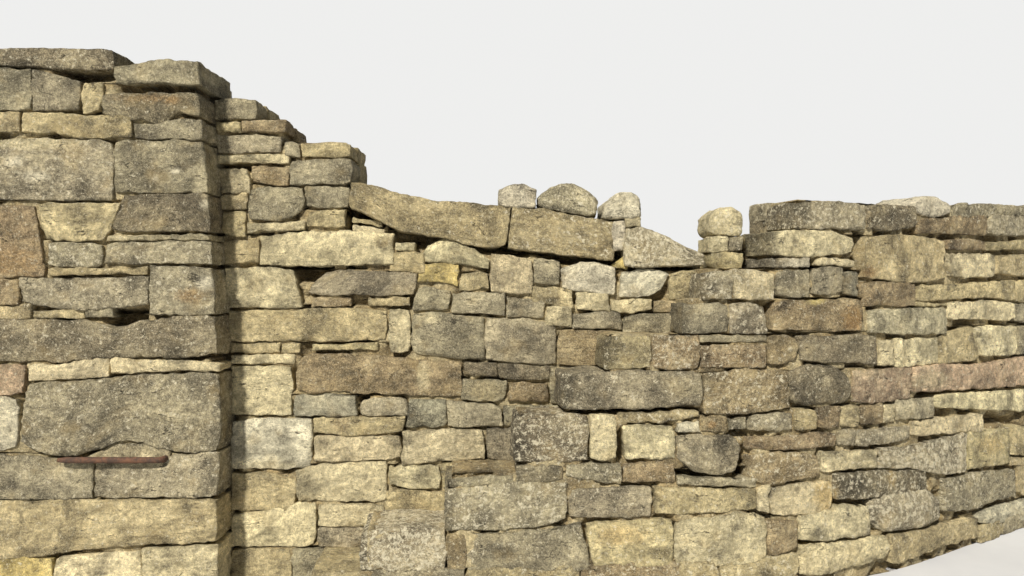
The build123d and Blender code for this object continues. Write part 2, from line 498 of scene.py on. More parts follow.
def round_edges(points, length, height, depth, radius, whole):
    """A block's points with its edges rounded, and the way out of it at each of them."""
    core = points.copy()
    core[:, 0] = np.clip(points[:, 0], radius - length / 2, length / 2 - radius)
    core[:, 1] = np.clip(points[:, 1], radius - height / 2, height / 2 - radius)
    core[:, 2] = np.clip(points[:, 2], radius, depth - radius if whole else None)
    outward = points - core
    outward /= np.maximum(np.linalg.norm(outward, axis=1), 1e-9)[:, None]
    if not whole:
        outward[-1] = 0
    rounded = core + outward * radius
    if not whole:
        rounded[-1] = points[-1]
    return rounded, outward


def even_profile(points, count=41):
    """Heights along a polyline at even steps from its left end, with its corners eased."""
    share = (points[:, 0] - points[0, 0]) / (points[-1, 0] - points[0, 0])
    even = np.linspace(0, 1, count)
    height = np.interp(even, share, points[:, 1])
    eased = np.convolve(np.pad(height, 1, mode="edge"), (0.25, 0.5, 0.25), mode="valid")
    return even, eased


def wear_corners(points, length, height, worn, rng):
    """Pulls the four corners of a stone in, each by its own amount."""
    for side in (-1, 1):
        for end in (-1, 1):
            wear = worn * CORNER_WEAR * rng.uniform(0, 1) ** 2 * min(1, height / 0.2)
            away = np.hypot(points[:, 0] - side * length / 2, points[:, 1] - end * height / 2)
            pull = wear * np.exp(-(away / CORNER_REACH) ** 2)
            points[:, 0] -= side * pull
            points[:, 1] -= end * pull


class Outline:
    """A stone's outline on a face: its upper and lower edges, as lists of (along, up) from
    left to right."""

    def __init__(self, top, bottom):
        self.top = np.array(top, float)
        self.bottom = np.array(bottom, float)
        self.share, self.top_up = even_profile(self.top)
        self.share, self.bottom_up = even_profile(self.bottom)
        self.length = (np.ptp(self.top[:, 0]) + np.ptp(self.bottom[:, 0])) / 2
        self.height = float(np.mean(self.top_up - self.bottom_up))

    def fit(self, points, length, height, shift):
        """Takes points of a straight block to places along and up the face. The outline's
        edges wander on the way."""
        across = points[:, 0] / length + 0.5
        upward = points[:, 1] / height + 0.5
        left = self.bottom[0, 0] + (self.top[0, 0] - self.bottom[0, 0]) * upward
        right = self.bottom[-1, 0] + (self.top[-1, 0] - self.bottom[-1, 0]) * upward
        along = left + (right - left) * across
        low = np.interp(across, self.share, self.bottom_up)
        high = np.interp(across, self.share, self.top_up)
        up = low + (high - low) * upward
        spot = np.stack((along, up, np.zeros_like(up)), axis=-1)
        near = (spot + shift) / 0.07
        along = along + LONG_WANDER * noise(spot / 0.15 + 3.1) + SHORT_WANDER * noise(near)
        up = up + LONG_WANDER * noise(spot / 0.14 + 9.7) + SHORT_WANDER * noise(near + 5.5)
        return along, up


def thin_beds(sample):
    """Relief of the thin beds that the stone is made of."""
    beds = fractal(sample * np.array((0.16, 1.0, 0.25)), 0.035, 2, 0.5)
    return BED_HEIGHT * np.clip(beds * 3, -0.5, 0.5)


def spalled(sample, edge):
    """How much of a stone is broken off at each point, near its edges."""
    return smooth_step(-0.05, 0.4, fractal(sample + 3, 0.11, 3)) * np.exp(-edge / SPALL_REACH)


def turn_towards(tints, tone, weight):
    tints += weight[:, None] * (tone - tints)


def lay_stone(pile, face, top, bottom, tint, rng, depth=0.22, sunk=0.004, radius=0.008, rough=1.0,
              bulge=0.006, layers=1.0, lichen=0.0, joint=-0.004, cell=FINE_CELL,
              side_cell=HIDDEN_CELL, whole=False, patches=(), hollows=False, dark_end=False, worn=1.0):
    """Lays one stone, or rubble with hollows, into the outline of its top and bottom edges."""
    outline = Outline(top, bottom)
    length = outline.length - 2 * joint
    height = outline.height - 2 * joint
    radius = min(radius, 0.3 * length, 0.36 * height)
    points, quads, fan = stone_shell(cell_lines(length, radius, cell), cell_lines(height, radius, cell),
                                     depth_lines(depth, radius, side_cell, whole), whole)
    rounded, outward = round_edges(points, length, height, depth, radius, whole)
    facing = np.clip(-outward[:, 2], 0, 1)
    edge = np.minimum(length / 2 - np.abs(points[:, 0]), height / 2 - np.abs(points[:, 1]))
    edge = np.where(points[:, 2] > 0, points[:, 2], edge)

    shift = rng.uniform(-40, 40, 3)
    sample = rounded + shift
    broad = fractal(sample, 0.20, 3, 0.55)
    fine = fractal(sample, 0.045, 3, 0.6)
    relief = rough * (BROAD_BUMP * broad + FINE_BUMP * fine) + layers * thin_beds(sample)
    lean = rng.uniform(-FACE_LEAN, FACE_LEAN, 2)
    pillow = np.clip(1 - (2 * rounded[:, 0] / length) ** 2, 0, 1)
    pillow *= np.clip(1 - (2 * rounded[:, 1] / height) ** 2, 0, 1)
    moved = rounded + outward * relief[:, None]
    moved[:, 2] += sunk - facing * (bulge * pillow + lean[0] * rounded[:, 0] + lean[1] * rounded[:, 1])
    moved[:, 2] += SPALL_DEPTH * rough * spalled(sample, edge)
    if not hollows:
        moved[:, 2] += rng.uniform(0, FACE_SCATTER)
        wear_corners(moved, length, height, worn, rng)
        moved[:, 2] -= DENT_CUT * np.clip(moved[:, 2] - FACE_DENT, 0, None) * (facing > 0.5)
    along, up = outline.fit(moved, length + 2 * joint, height + 2 * joint, shift)
    placed = face.place(along, up, moved[:, 2])

    tints = weathered(tint, sample)
    if hollows:
        dents = RUBBLE_DENT * smooth_step(-0.02, 0.16, fractal(sample + 21, 0.2, 3))
        deeper = gap_depth(placed, fine) + dents
        placed = face.place(along, up, moved[:, 2] + np.minimum(deeper, depth * 0.6) * (facing > 0.5))
        pointing = 0.75 * (1 - smooth_step(0.0, 0.02, deeper)) * smooth_step(-0.15, 0.15, broad)
        turn_towards(tints, TINTS["mortar"], pointing)
    if dark_end:
        shade = 0.6 * (1 - smooth_step(0.0, 0.12, rounded[:, 0] + length / 2 + 0.06 * broad))
        turn_towards(tints, TINTS["soot"], shade)
    for patch in patches:
        spread_patch(tints, placed, fine, *patch)
    edge_shade_and_lichen = np.tile((0.0, lichen, 0, 1), (len(points), 1))
    # The red is the way from the stone's edge; the material paints shade along the joints from it
    edge_shade_and_lichen[:, 0] = np.clip(edge / EDGE_SHADE_REACH, 0, 1)
    pile.add(placed, quads, fan, tints, sample, edge_shade_and_lichen)


def weathered(tint, sample):
    """The colour at each point of a stone: paler and dirtier areas across its tint."""
    broad = varied(sample + 5, 0.24)
    small = varied(sample * np.array((0.5, 1.3, 1.0)) + 11, 0.08)
    pale = np.clip(broad, 0, 1) * 0.45 + np.clip(small, 0, 1) * 0.25
    dirty = np.clip(-broad, 0, 1) * 0.5 + np.clip(-small, 0, 1) * 0.28
    paler = 0.5 * TINTS["cream"] + 0.68 * tint
    tints = tint + pale[:, None] * (paler - tint)
    return tints + dirty[:, None] * (TINTS["soot"] * 1.8 - tints)


def pixels_of(points):
    """Where points lie in the photograph."""
    distance = points[:, 1] - CAMERA[1]
    across = IMAGE_WIDTH / 2 + FOCAL_PIXELS * (points[:, 0] - CAMERA[0]) / distance
    down = IMAGE_HEIGHT / 2 - FOCAL_PIXELS * (points[:, 2] - CAMERA[2]) / distance
    return across, down


def gap_depth(points, breakup):
    """How much deeper the rubble lies where the photograph shows open gaps."""
    across, down = pixels_of(points)
    deeper = np.zeros(len(points))
    for x, y, half_width, half_height in GAPS:
        reach = np.maximum(np.abs(across - x) / half_width, np.abs(down - y) / half_height)
        deeper = np.maximum(deeper, GAP_DEPTH * (1 - smooth_step(0.8, 1.25, reach + 0.3 * breakup)))
    return deeper


def spread_patch(tints, points, breakup, colour, x, y, half_width, half_height, strength):
    """Turns the tints towards a colour around a pixel of the photograph."""
    across, down = pixels_of(points)
    reach = np.hypot((across - x) / half_width, (down - y) / half_height)
    turn_towards(tints, TINTS[colour], strength * (1 - smooth_step(0.35, 1.15, reach + 0.5 * breakup)))


# Stones that the photograph shows: tint, left side, right side, upper edge, lower edge, and
# what lay_stone is told besides. Sides and edges are pixels of the photograph. A side that
# isn't plumb is a pair, its top and its bottom. The heights of an edge are evenly spaced
# from its left to its right, and a level edge is one height.

PIER_STONES = [
    ("grey", -66, -23, 47, 65),
    ("dark", -22, 112, (48, 46, 48), (65, 65, 68, 68), dict(lichen=0.4, tone=1.12)),
    ("grey", 113, 196, (66, 60, 60), (83, 82, 84)),
    ("grey", -66, 30, (67, 68), (109, 110)),
    ("grey", 31, 79, (69, 81), (110, 109)),
    ("buff", 81, 100, (81, 82), (113, 112)),
    ("dark", 101, 198, (93, 92), (112, 121, 118, 123, 112, 117)),
    ("buff", -66, 18, 112, 131, dict(tone=1.1)),
    ("buff", 20, 130, (112, 116), (131, 134, 138, 136)),
    ("grey", 132, 200, (123, 119), (138, 139)),
    ("grey", -66, -12, (137, 138), 199),
    ("grey", -10, 112, (138, 139), (199, 200), dict(lichen=0.4)),
    ("grey", 113, 200, (140, 141), (192, 193)),
    ("grey", -66, -24, (202, 203), 278),
    ("brown", -22, (33, 43), (204, 205), (278, 276)),
    ("buff", (36, 45), (121, 103), 203, (240, 239), dict(tone=1.15)),
    ("dark", (123, 106), 206, (195, 194), (231, 230)),
    ("cream", 106, 210, (236, 234), (240, 239), dict(radius=0.006)),
    ("grey", 47, 102, 243, 266, dict(lichen=0.6)),
    ("grey", 104, 213, (242, 241), 263, dict(lichen=0.4)),
    ("buff", 47, 146, (269, 267), (275, 274), dict(radius=0.006)),
    ("brown", -66, 18, 280, (304, 305)),
    ("grey", 20, 147, (279, 277), (302, 309, 309, 304), dict(lichen=0.3)),
    ("grey", 149, 215, (266, 268), (314, 315), dict(lichen=0.3)),
    ("buff", -66, 29, (307, 306), (318, 319), dict(tone=1.2)),
    ("buff", 31, 83, (311, 309), 318),
    ("grey", 84, 111, (308, 307), 317),
    ("dark", -66, -16, 321, 360),
    ("dark", -14, 211, (321, 320, 320, 321, 328, 320, 317, 317), (360, 361, 362, 358, 356, 357, 355),
     dict(lichen=0.3, rough=1.3, tone=1.2)),
    ("pink", -66, 24, (365, 366), (394, 395), dict(tone=1.25)),
    ("cream", 26, 108, (366, 364, 358), (382, 376), dict(tone=1.12)),
    ("cream", 110, 220, (359, 361, 361, 365), (374, 371, 371), dict(tone=1.15)),
    ("white", -66, 16, 397, (452, 451), dict(tone=0.93)),
    ("grey", (28, 19), 214, (384, 380, 374, 374), (441, 452, 456, 455, 450, 441, 441, 448, 451, 452,
     452), dict(lichen=0.3, rough=1.2, bulge=0.014, tone=0.77)),
    ("cream", 84, 168, (458, 446, 444, 452), 461, dict(sunk=0.045, radius=0.02)),
    ("grey", -66, 91, (455, 460), (500, 499)),
    ("grey", (94, 93), 214, (463, 463, 456, 454), 498, dict(lichen=0.3)),
    ("buff", -66, 214, (502, 500), (560, 560, 558, 551, 547, 544, 542), dict(bulge=0.012)),
    ("yellow", -66, 50, (562, 560), 599),
    ("cream", 52, 139, (558, 553), 599, dict(tone=1.2)),
    ("cream", 141, 213, (550, 546), 599, dict(tone=0.92)),
]

STACK_STONES = [
    ("grey", 214, 255, (98, 97, 99), 118),
    ("buff", 217, 240, (121, 122), (130, 131)),
    ("brown", 241, 285, (120, 121), 131),
    ("grey", 216, 281, (134, 135), 152, dict(lichen=0.3)),
    ("cream", 218, 288, (155, 154), (162, 163), dict(radius=0.008)),
    ("cream", 218, 249, (169, 168), (192, 193)),
    ("brown", 251, 288, (166, 168), (183, 186)),
    ("grey", 283, 300, (142, 143), 156),
    ("buff", 302, 350, (144, 145), 156),
    ("grey", 290, 352, (160, 158), 184, dict(lichen=0.3)),
    ("buff", 220, 246, (195, 194), 209, dict(tone=1.1)),
    ("buff", 220, 245, 212, 237),
    ("grey", 248, 303, (190, 187, 187), (219, 220, 213), dict(lichen=0.4)),
    ("grey", 305, 349, 187, (206, 207)),
    ("buff", 306, 345, (211, 209), 227),
    ("cream", 247, 303, (223, 222), (233, 229)),
    ("buff", 222, 258, (241, 240), (264, 262)),
    ("cream", 260, 393, (237, 232, 231, 231, 234), (264, 266, 263), dict(bulge=0.016)),
]

SLAB_BED_STONES = [
    ("buff", 352, 382, (218, 222), (222, 226), dict(radius=0.006, sunk=0.02)),
    ("cream", 352, 384, (225, 229), 233, dict(sunk=0.02)),
    ("cream", 395, 414, 244, 250),
    ("buff", 390, 424, 252, (271, 272)),
    ("cream", (427, 419), 489, (244, 240, 242, 249, 260), (261, 262, 269), dict(tone=1.1, bulge=0.02)),
    ("cream", 491, 532, (253, 256, 260), (291, 293)),
    ("grey", 534, 560, (259, 261), (284, 285)),
    ("white", 562, (618, 614), (269, 263, 263, 267), (288, 292, 295), dict(lichen=0.8)),
    ("yellow", 612, 627, (264, 257), (267, 268), dict(sunk=0.02)),
]

# The two tilted slabs, the small stones on them, and the stones that lie loose on the
# recessed wall: for each node how far they reach in, and the stones
LOOSE_STONES = {
    "left_slab": (SLAB_DEPTH, [
        ("buff", 350, (511, 505), (181, 186, 194, 200, 201, 204, 206), (208, 212, 218, 226, 231, 233,
         235, 237, 240, 243, 245, 247, 245), dict(layers=1.6, tone=0.75, worn=0.3)),
    ]),
    "right_slab": (SLAB_DEPTH, [
        ("buff", (512, 507), 613, (206, 208, 211, 215, 219, 222), (248, 251, 253, 255, 257, 260),
         dict(lichen=0.3, tone=0.74, worn=0.4)),
    ]),
    "top_stones": (TOP_STONE_DEPTH, [
        ("white", 499, 535, (190, 185, 184, 189), (205, 206, 207), dict(lichen=0.6, tone=0.9)),
        ("grey", 538, 598, (196, 187, 183, 183, 189, 198), (207, 210, 213, 218), dict(lichen=0.5,
         tone=1.05, radius=0.03)),
    ]),
    "end_stones": (END_STONE_DEPTH, [
        ("white", 613, 625, (219, 220), (252, 251)),
        ("grey", 624, 704, (227, 228, 232, 239, 248, 254), (267, 265), dict(lichen=0.9, tone=1.15)),
        ("cream", 711, 744, (214, 207, 207, 212), (235, 236), dict(lichen=0.6, radius=0.03, tone=0.95)),
        ("cream", 711, 729, 237, 251),
        ("grey", 730, 744, 237, 251),
        ("buff", 711, 744, 252, 269),
    ]),
    "end_capstone": (END_STONE_DEPTH, [
        ("white", 603, 641, (200, 196, 192, 192, 196), (219, 218), dict(lichen=0.6, radius=0.025)),
        ("cream", 626, 641, 219, 227, dict(radius=0.006)),
    ]),
}

RECESS_STONES = [
    ("yellow", 418, 457, (265, 263, 265), (281, 282, 286), dict(tone=1.3)),
    ("buff", 459, 489, 272, 290),
    ("white", 621, (670, 661), (272, 269, 270, 274), (296, 297, 297, 290), dict(lichen=0.8)),
    ("buff", 671, 744, (271, 270), (298, 299)),
    ("grey", (418, 411), 450, (286, 291), (310, 311)),
    ("grey", 452, 505, (293, 292), (312, 316)),
    ("buff", 533, 574, (287, 289), (302, 309)),
    ("cream", 576, 609, (292, 295), (310, 311)),
    ("grey", 507, 544, (297, 300), 317),
    ("cream", 546, 571, (305, 307), (325, 327)),
    ("grey", 573, 622, (315, 312, 312), (328, 329), dict(lichen=0.3)),
    ("cream", 611, 652, 299, (311, 313, 309)),
    ("grey", 624, 690, (315, 313), (332, 333)),
    ("brown", 654, 744, 301, 312),
    ("grey", (326, 303), 416, (270, 273), (294, 296), dict(tone=0.95)),
    ("cream", 229, (292, 301), 268, (308, 307), dict(tone=0.97)),
    ("brown", 312, 350, (298, 299), 306, dict(radius=0.006)),
    ("buff", 368, 409, 298, 305, dict(radius=0.006)),
    ("buff", 229, 387, (311, 309), 341),
    ("cream", 389, 410, 309, 353),
    ("grey", 411, 484, (313, 312, 315, 318), (354, 360), dict(bulge=0.02, radius=0.022)),
    ("grey", 486, 556, (318, 319, 324), (360, 365), dict(bulge=0.014)),
    ("brown", 558, 623, (330, 331), (365, 366)),
    ("buff", 236, 279, 344, (352, 353), dict(radius=0.006)),
    ("buff", 281, 299, 345, (353, 352), dict(radius=0.006)),
    ("buff", 312, 377, (345, 344), 350, dict(radius=0.006)),
    ("cream", 230, 294, (356, 355), 363, dict(radius=0.007, tone=1.2)),
    ("cream", 232, 291, (367, 366), 415),
    ("brown", (301, 294), 461, (353, 357, 363), (391, 396), dict(tone=1.1, bulge=0.016)),
    ("dark", 464, 497, (363, 364), (375, 378)),
    ("dark", 499, 549, (365, 365, 368), (379, 380)),
    ("grey", 551, 610, (367, 368), 404),
    ("grey", 462, 506, (380, 382), (400, 403)),
    ("brown", 508, 549, 383, 402),
    ("blue", 294, 356, 395, 416),
    ("grey", 360, 408, (402, 398, 398, 400), (416, 417), dict(radius=0.03, lichen=0.4, tone=1.3)),
    ("blue", (410, 405), 446, (399, 401), (428, 427), dict(lichen=0.3)),
    ("grey", 447, 502, (402, 405), (427, 426)),
    ("grey", 504, 570, (407, 406), 427),
    ("white", 230, 311, (422, 419, 420), 469, dict(bulge=0.014, tone=1.1)),
    ("buff", 312, 404, (419, 418), (433, 436, 433)),
    ("cream", 314, 401, (437, 438, 436), (461, 459)),
    ("cream", 403, 484, (432, 429), (464, 459)),
    ("grey", 486, 530, (429, 430), (460, 461)),
    ("buff", 230, (296, 292), (473, 474, 479), 511),
    ("cream", (294, 298), 386, (472, 464, 463, 462), 502),
    ("cream", 388, 440, (466, 464), (488, 489)),
    ("buff", 442, 466, (464, 463), (488, 489)),
    ("cream", 230, 315, (514, 513, 505, 505), 547, dict(tone=1.12)),
    ("cream", 317, 384, 505, 527),
    ("buff", 386, 462, 492, 526),
    ("grey", 317, 400, 529, (548, 549)),
    ("buff", 229, 290, 550, 583),
    ("grey", 292, 366, 550, 583),
]

WING_STONES = [
    ("grey", 802, 868, (202, 202, 204), (228, 229), dict(lichen=0.5)),
    ("dark", 869, 917, (205, 207), (229, 230, 227), dict(lichen=0.3)),
    ("white", 919, 952, (202, 196, 197, 205), (213, 217, 213), dict(lichen=0.9, radius=0.02)),
    ("grey", 954, 1062, (205, 204, 207, 206), 217, dict(radius=0.008, lichen=0.4)),
    ("brown", 919, 990, (219, 215), (233, 235)),
    ("grey", 992, 1062, (215, 216), (234, 237), dict(lichen=0.4)),
    ("cream", 777, 856, (232, 231, 231, 231, 238), (255, 257, 255, 253)),
    ("buff", 867, 946, (236, 236, 240), (278, 279, 283, 282, 280), dict(tone=1.06)),
    ("brown", 948, 987, 240, (249, 250)),
    ("buff", 989, 1062, (243, 240), 250),
    ("cream", (949, 952), 998, 254, 277, dict(tone=1.34)),
    ("buff", 1001, 1062, 256, (274, 277)),
    ("white", 777, 812, 259, 267, dict(radius=0.008)),
    ("cream", 820, 855, (259, 258, 261), (264, 266), dict(radius=0.008)),
    ("cream", 735, 775, (270, 270, 274), (299, 300), dict(lichen=0.5)),
    ("grey", 706, 733, (272, 271), 299, dict(lichen=0.5)),
    ("grey", 777, 811, (271, 270), 297),
    ("grey", 815, 845, (268, 267), (294, 293)),
    ("blue", 847, 859, (272, 271), (295, 297)),
    ("brown", 869, 917, (281, 283), (305, 306), dict(tone=1.1)),
    ("buff", 919, 1062, (286, 280), (301, 297, 303), dict(tone=1.2)),
    ("grey", 690, 729, (304, 303), 333),
    ("grey", 731, 767, (304, 302, 306), 333, dict(lichen=0.5)),
    ("brown", 775, 864, (301, 299), (330, 331)),
    ("grey", 871, 948, (310, 308), (333, 334), dict(tone=1.45)),
    ("buff", 919, 949, (303, 304), 306, dict(radius=0.006)),
    ("cream", 951, 1017, (303, 301, 302), (319, 320), dict(tone=1.28)),
    ("grey", 1019, 1062, (304, 305), (321, 322)),
    ("buff", 606, 652, (337, 336), 369),
    ("brown", 653, 700, (336, 335), 369, dict(lichen=0.5)),
    ("grey", 701, 768, (336, 335), 342, dict(radius=0.006)),
    ("brown", 702, 768, (346, 345), (368, 367), dict(lichen=0.3)),
    ("brown", 770, 799, (337, 335), (365, 362)),
    ("dark", 801, 879, 336, (361, 364), dict(tone=1.1)),
    ("cream", 881, 896, 339, 365),
    ("cream", 898, 940, (339, 338), (368, 363), dict(tone=1.3)),
    ("buff", 942, (975, 981), (336, 326), (364, 360)),
    ("cream", (979, 984), 1019, (327, 326), (356, 355), dict(lichen=0.3, tone=1.25)),
    ("grey", 1022, 1062, 326, (354, 353)),
    ("grey", 566, 704, (374, 371, 372), (409, 409, 406), dict(radius=0.022, tone=0.95)),
    ("brown", 706, 790, (374, 370, 370), (414, 414, 408), dict(lichen=0.3)),
    ("dark", 792, 852, (370, 365, 364, 367, 378), (406, 405, 402), dict(radius=0.035, bulge=0.02)),
    ("pink", 856, 913, (371, 368), (403, 402, 398), dict(tone=0.9)),
    ("pink", 915, 1062, (368, 364, 366, 361, 357, 354), (392, 388, 381), dict(tone=1.32)),
    ("cream", 937, 1062, (395, 387), (408, 410, 409), dict(tone=1.33)),
    ("grey", 899, 935, (401, 398), (420, 417), dict(tone=1.5)),
    ("dark", 516, 589, (416, 414), 461, dict(lichen=0.7)),
    ("cream", 591, 618, (415, 414), (459, 460)),
    ("buff", 620, 700, (414, 411), (423, 422, 417), dict(lichen=0.3)),
    ("cream", (624, 627), 676, (427, 425), 459),
    ("white", 678, 700, (425, 421), (434, 431)),
    ("brown", 702, 728, (419, 418), 433),
    ("grey", 730, 747, (419, 418), 430),
    ("grey", 750, 794, (416, 413), (431, 430), dict(lichen=0.4)),
    ("buff", 796, 819, (410, 409), (431, 430)),
    ("brown", 821, 842, (408, 407), (429, 428)),
    ("buff", 843, 861, (407, 406), (426, 427)),
    ("brown", 863, 884, (406, 404), (425, 423)),
    ("cream", 886, 897, (405, 404), (423, 422)),
    ("cream", 914, 985, (422, 414), (436, 431), dict(tone=1.12)),
    ("buff", 1014, 1062, 426, 455),
    ("grey", 678, 741, (438, 435, 436, 436), (462, 473, 476, 474), dict(radius=0.035, tone=0.88)),
    ("brown", 749, 838, (438, 433), (449, 449, 446)),
    ("grey", 840, 857, 431, 446),
    ("grey", 859, 912, (431, 427), (446, 445, 438), dict(lichen=0.4)),
    ("brown", 750, 820, (455, 453, 456), (483, 484, 481, 476), dict(lichen=0.3)),
    ("cream", 823, 879, (453, 451), (472, 467)),
    ("grey", 881, 969, (449, 447, 440, 434), (468, 468, 474, 473), dict(lichen=0.9)),
    ("buff", 971, 1012, (432, 429), (470, 463), dict(tone=1.02)),
    ("buff", 1014, 1062, 458, (466, 462)),
    ("grey", 566, 622, 465, (476, 486), dict(lichen=0.3)),
    ("grey", 446, 514, (482, 476), (489, 484), dict(radius=0.008)),
    ("dark", 516, 564, (466, 465), (483, 481)),
    ("brown", 624, 676, (465, 463), 482),
    ("grey", 678, 757, (478, 480), (484, 487), dict(radius=0.007)),
    ("grey", 451, 567, (491, 485, 483, 484), (531, 530, 529, 527, 519), dict(lichen=0.6)),
    ("grey", 570, 652, (489, 488), (518, 517)),
    ("buff", 655, 757, (488, 490), (514, 513, 509)),
    ("cream", 759, 770, (487, 486), (513, 514)),
    ("cream", 773, 834, (488, 481), (518, 511)),
    ("dark", 836, 929, (475, 471, 471), (499, 499, 495, 489), dict(lichen=0.6)),
    ("grey", 871, 943, (500, 494, 491, 488, 489, 498), (526, 533, 531, 528, 520), dict(lichen=0.8,
     radius=0.04, bulge=0.02)),
    ("grey", 946, 1018, (480, 473, 470), (511, 511, 508, 500, 496), dict(lichen=0.4, tone=0.85)),
    ("buff", 1020, 1062, (465, 464), (495, 492)),
    ("white", 982, 1062, (514, 505, 498, 495), (524, 522, 516)),
    ("grey", 361, 445, (534, 530, 529, 530), 571, dict(lichen=1.0, tone=1.1)),
    ("brown", 447, 466, (535, 534), 571, dict(tone=0.85)),
    ("grey", 468, (581, 592), (534, 533, 531, 524), 571, dict(tone=0.9)),
    ("buff", (584, 595), 674, (524, 520), 566, dict(tone=1.12)),
    ("cream", 676, 767, (522, 520, 513, 516), (569, 566, 560), dict(tone=0.97, bulge=0.014)),
    ("brown", 769, 799, (522, 521), (560, 548)),
    ("cream", 801, 870, (516, 512, 506, 505), (541, 542, 538, 534)),
    ("cream", 801, 890, (547, 543, 536), (576, 574, 566, 556)),
    ("buff", 893, 980, (536, 533, 524, 517), (566, 550, 537)),
]


# Patches of lichen and rust-coloured stain, and darker and paler patches: colour, pixel centre, half sizes,
# strength
PATCHES = [
    ("rust", 190, 296, 18, 9, 0.5),
    ("rust", 172, 101, 9, 5, 0.5),
    ("rust", 10, 262, 36, 18, 0.45),
    ("white", 205, 283, 10, 10, 0.8),
    ("white", 14, 160, 9, 9, 0.8),
    ("white", 34, 176, 16, 6, 0.7),
    ("white", 155, 178, 4, 4, 0.8),
    ("white", 176, 171, 5, 3, 0.7),
    ("white", 205, 205, 6, 5, 0.5),
    ("cream", 30, 143, 60, 7, 0.8),
    ("soot", 528, 335, 26, 12, 0.4),
    ("cream", 423, 375, 8, 20, 0.7),
    ("cream", 428, 318, 16, 8, 0.6),
    ("buff", 485, 390, 22, 14, 0.5),
    ("brown", 340, 424, 12, 10, 0.5),
    ("buff", 268, 466, 34, 9, 0.4),
    ("soot", 425, 420, 26, 12, 0.4),
    ("soot", 530, 405, 26, 10, 0.2),
    ("soot", 723, 445, 13, 18, 0.6),
    ("soot", 855, 345, 10, 12, 0.5),
    ("soot", 860, 485, 22, 15, 0.5),
    ("orange", 892, 478, 5, 13, 0.45),
    ("orange", 992, 445, 16, 12, 0.5),
    ("orange", 622, 535, 30, 13, 0.6),
    ("soot", 880, 218, 14, 14, 0.45),
    ("soot", 806, 212, 8, 16, 0.6),
    ("soot", 570, 390, 16, 24, 0.5),
    ("yellow", 816, 301, 12, 4, 0.9),
    ("rust", 853, 320, 12, 16, 0.8),
    ("rust", 870, 272, 9, 8, 0.6),
    ("orange", 825, 495, 14, 20, 0.8),
    ("rust", 712, 425, 5, 4, 0.7),
    ("soot", 660, 552, 24, 7, 0.5),
    ("rust", 150, 98, 44, 5, 0.35),
    ("pink", 990, 372, 26, 9, 0.5),
    ("cream", 930, 380, 22, 12, 0.5),
    ("cream", 600, 428, 18, 16, 0.6),
    ("soot", 750, 225, 10, 20, 0.3),
    ("cream", 690, 385, 30, 14, 0.3),
]

# Rubble behind the slabs' joint and right end: pixels of its left, right, top and bottom
SLAB_PACKING = {"slab_bed": (498, 518, 212, 252), "end_stones": (604, 624, 224, 268)}

# Open gaps, where no rubble fills the joints: pixel centres and half sizes
GAPS = [
    (86, 75, 26, 6), (160, 88, 36, 3), (127, 319, 18, 10), (4, 565, 7, 8), (22, 397, 4, 9),
    (100, 363, 110, 2), (234, 165, 21, 4), (362, 213, 17, 5), (366, 224, 17, 2),
    (408, 237, 18, 7), (440, 239, 20, 3), (470, 243, 20, 3), (495, 248, 12, 4), (525, 252, 20, 3),
    (575, 258, 26, 5), (600, 260, 12, 3), (618, 254, 5, 5), (658, 266, 32, 4),
    (312, 274, 20, 7), (362, 398, 6, 5), (288, 471, 6, 3),
    (892, 277, 14, 4), (860, 266, 4, 34), (832, 265, 25, 5), (772, 318, 4, 14), (745, 463, 5, 15),
    (925, 396, 8, 3), (997, 420, 11, 3), (738, 433, 8, 3), (872, 527, 3, 7), (1013, 456, 3, 6),
    (805, 542, 6, 4), (690, 474, 13, 4), (633, 412, 64, 3), (623, 445, 3, 16),
]


# Laying the wall

def edge_on(face, pixels, left, right):
    """An edge given by pixel heights, or by one height if it is level, as points (along, up)."""
    levels = pixels if isinstance(pixels, tuple) else (pixels, pixels)
    return [list(face.seen(x, y)) for x, y in zip(np.linspace(left, right, len(levels)), levels)]


def reach_ends(face, points, middle):
    """Takes a side that is near the face's end to the end. middle is the stone's height."""
    if face.ends:
        left_end, _ = face.ends(points[0][1], middle)
        _, right_end = face.ends(points[-1][1], middle)
        if points[0][0] < left_end + END_REACH:
            points[0][0] = left_end
        if points[-1][0] > right_end - END_REACH:
            points[-1][0] = right_end


def at_ends(side):
    """The pixel of a stone's side at its top and at its bottom."""
    return side if isinstance(side, tuple) else (side, side)


def lay_seen_stones(face, stones, depth_of, rng, part):
    """Lays the stones that the photograph shows on one face. In a coursed part they go to
    the course at their height."""
    for tint_name, left, right, high_edge, low_edge, *options in stones:
        more = dict(*options)
        left = at_ends(left)
        right = at_ends(right)
        top = edge_on(face, high_edge, left[0], right[0])
        bottom = edge_on(face, low_edge, left[1], right[1])
        up = (np.mean([point[1] for point in top]) + np.mean([point[1] for point in bottom])) / 2
        reach_ends(face, top, up)
        reach_ends(face, bottom, up)
        node = f"{part}_{course_number(part, up):02d}" if part in LEVELS else part
        depth, side_cell, whole = depth_of(top, up)
        tone = more.pop("tone", 1.0) * rng.uniform(*TONES)
        more["dark_end"] = face is wing_face and top[0][0] == face.ends(up, up)[0]
        tint = TINTS[tint_name] * tone * rng.uniform(*HUES, 3)
        lay_stone(piles[node], face, top, bottom, tint, rng, depth=depth, side_cell=side_cell,
                  whole=whole, patches=PATCHES, **more)


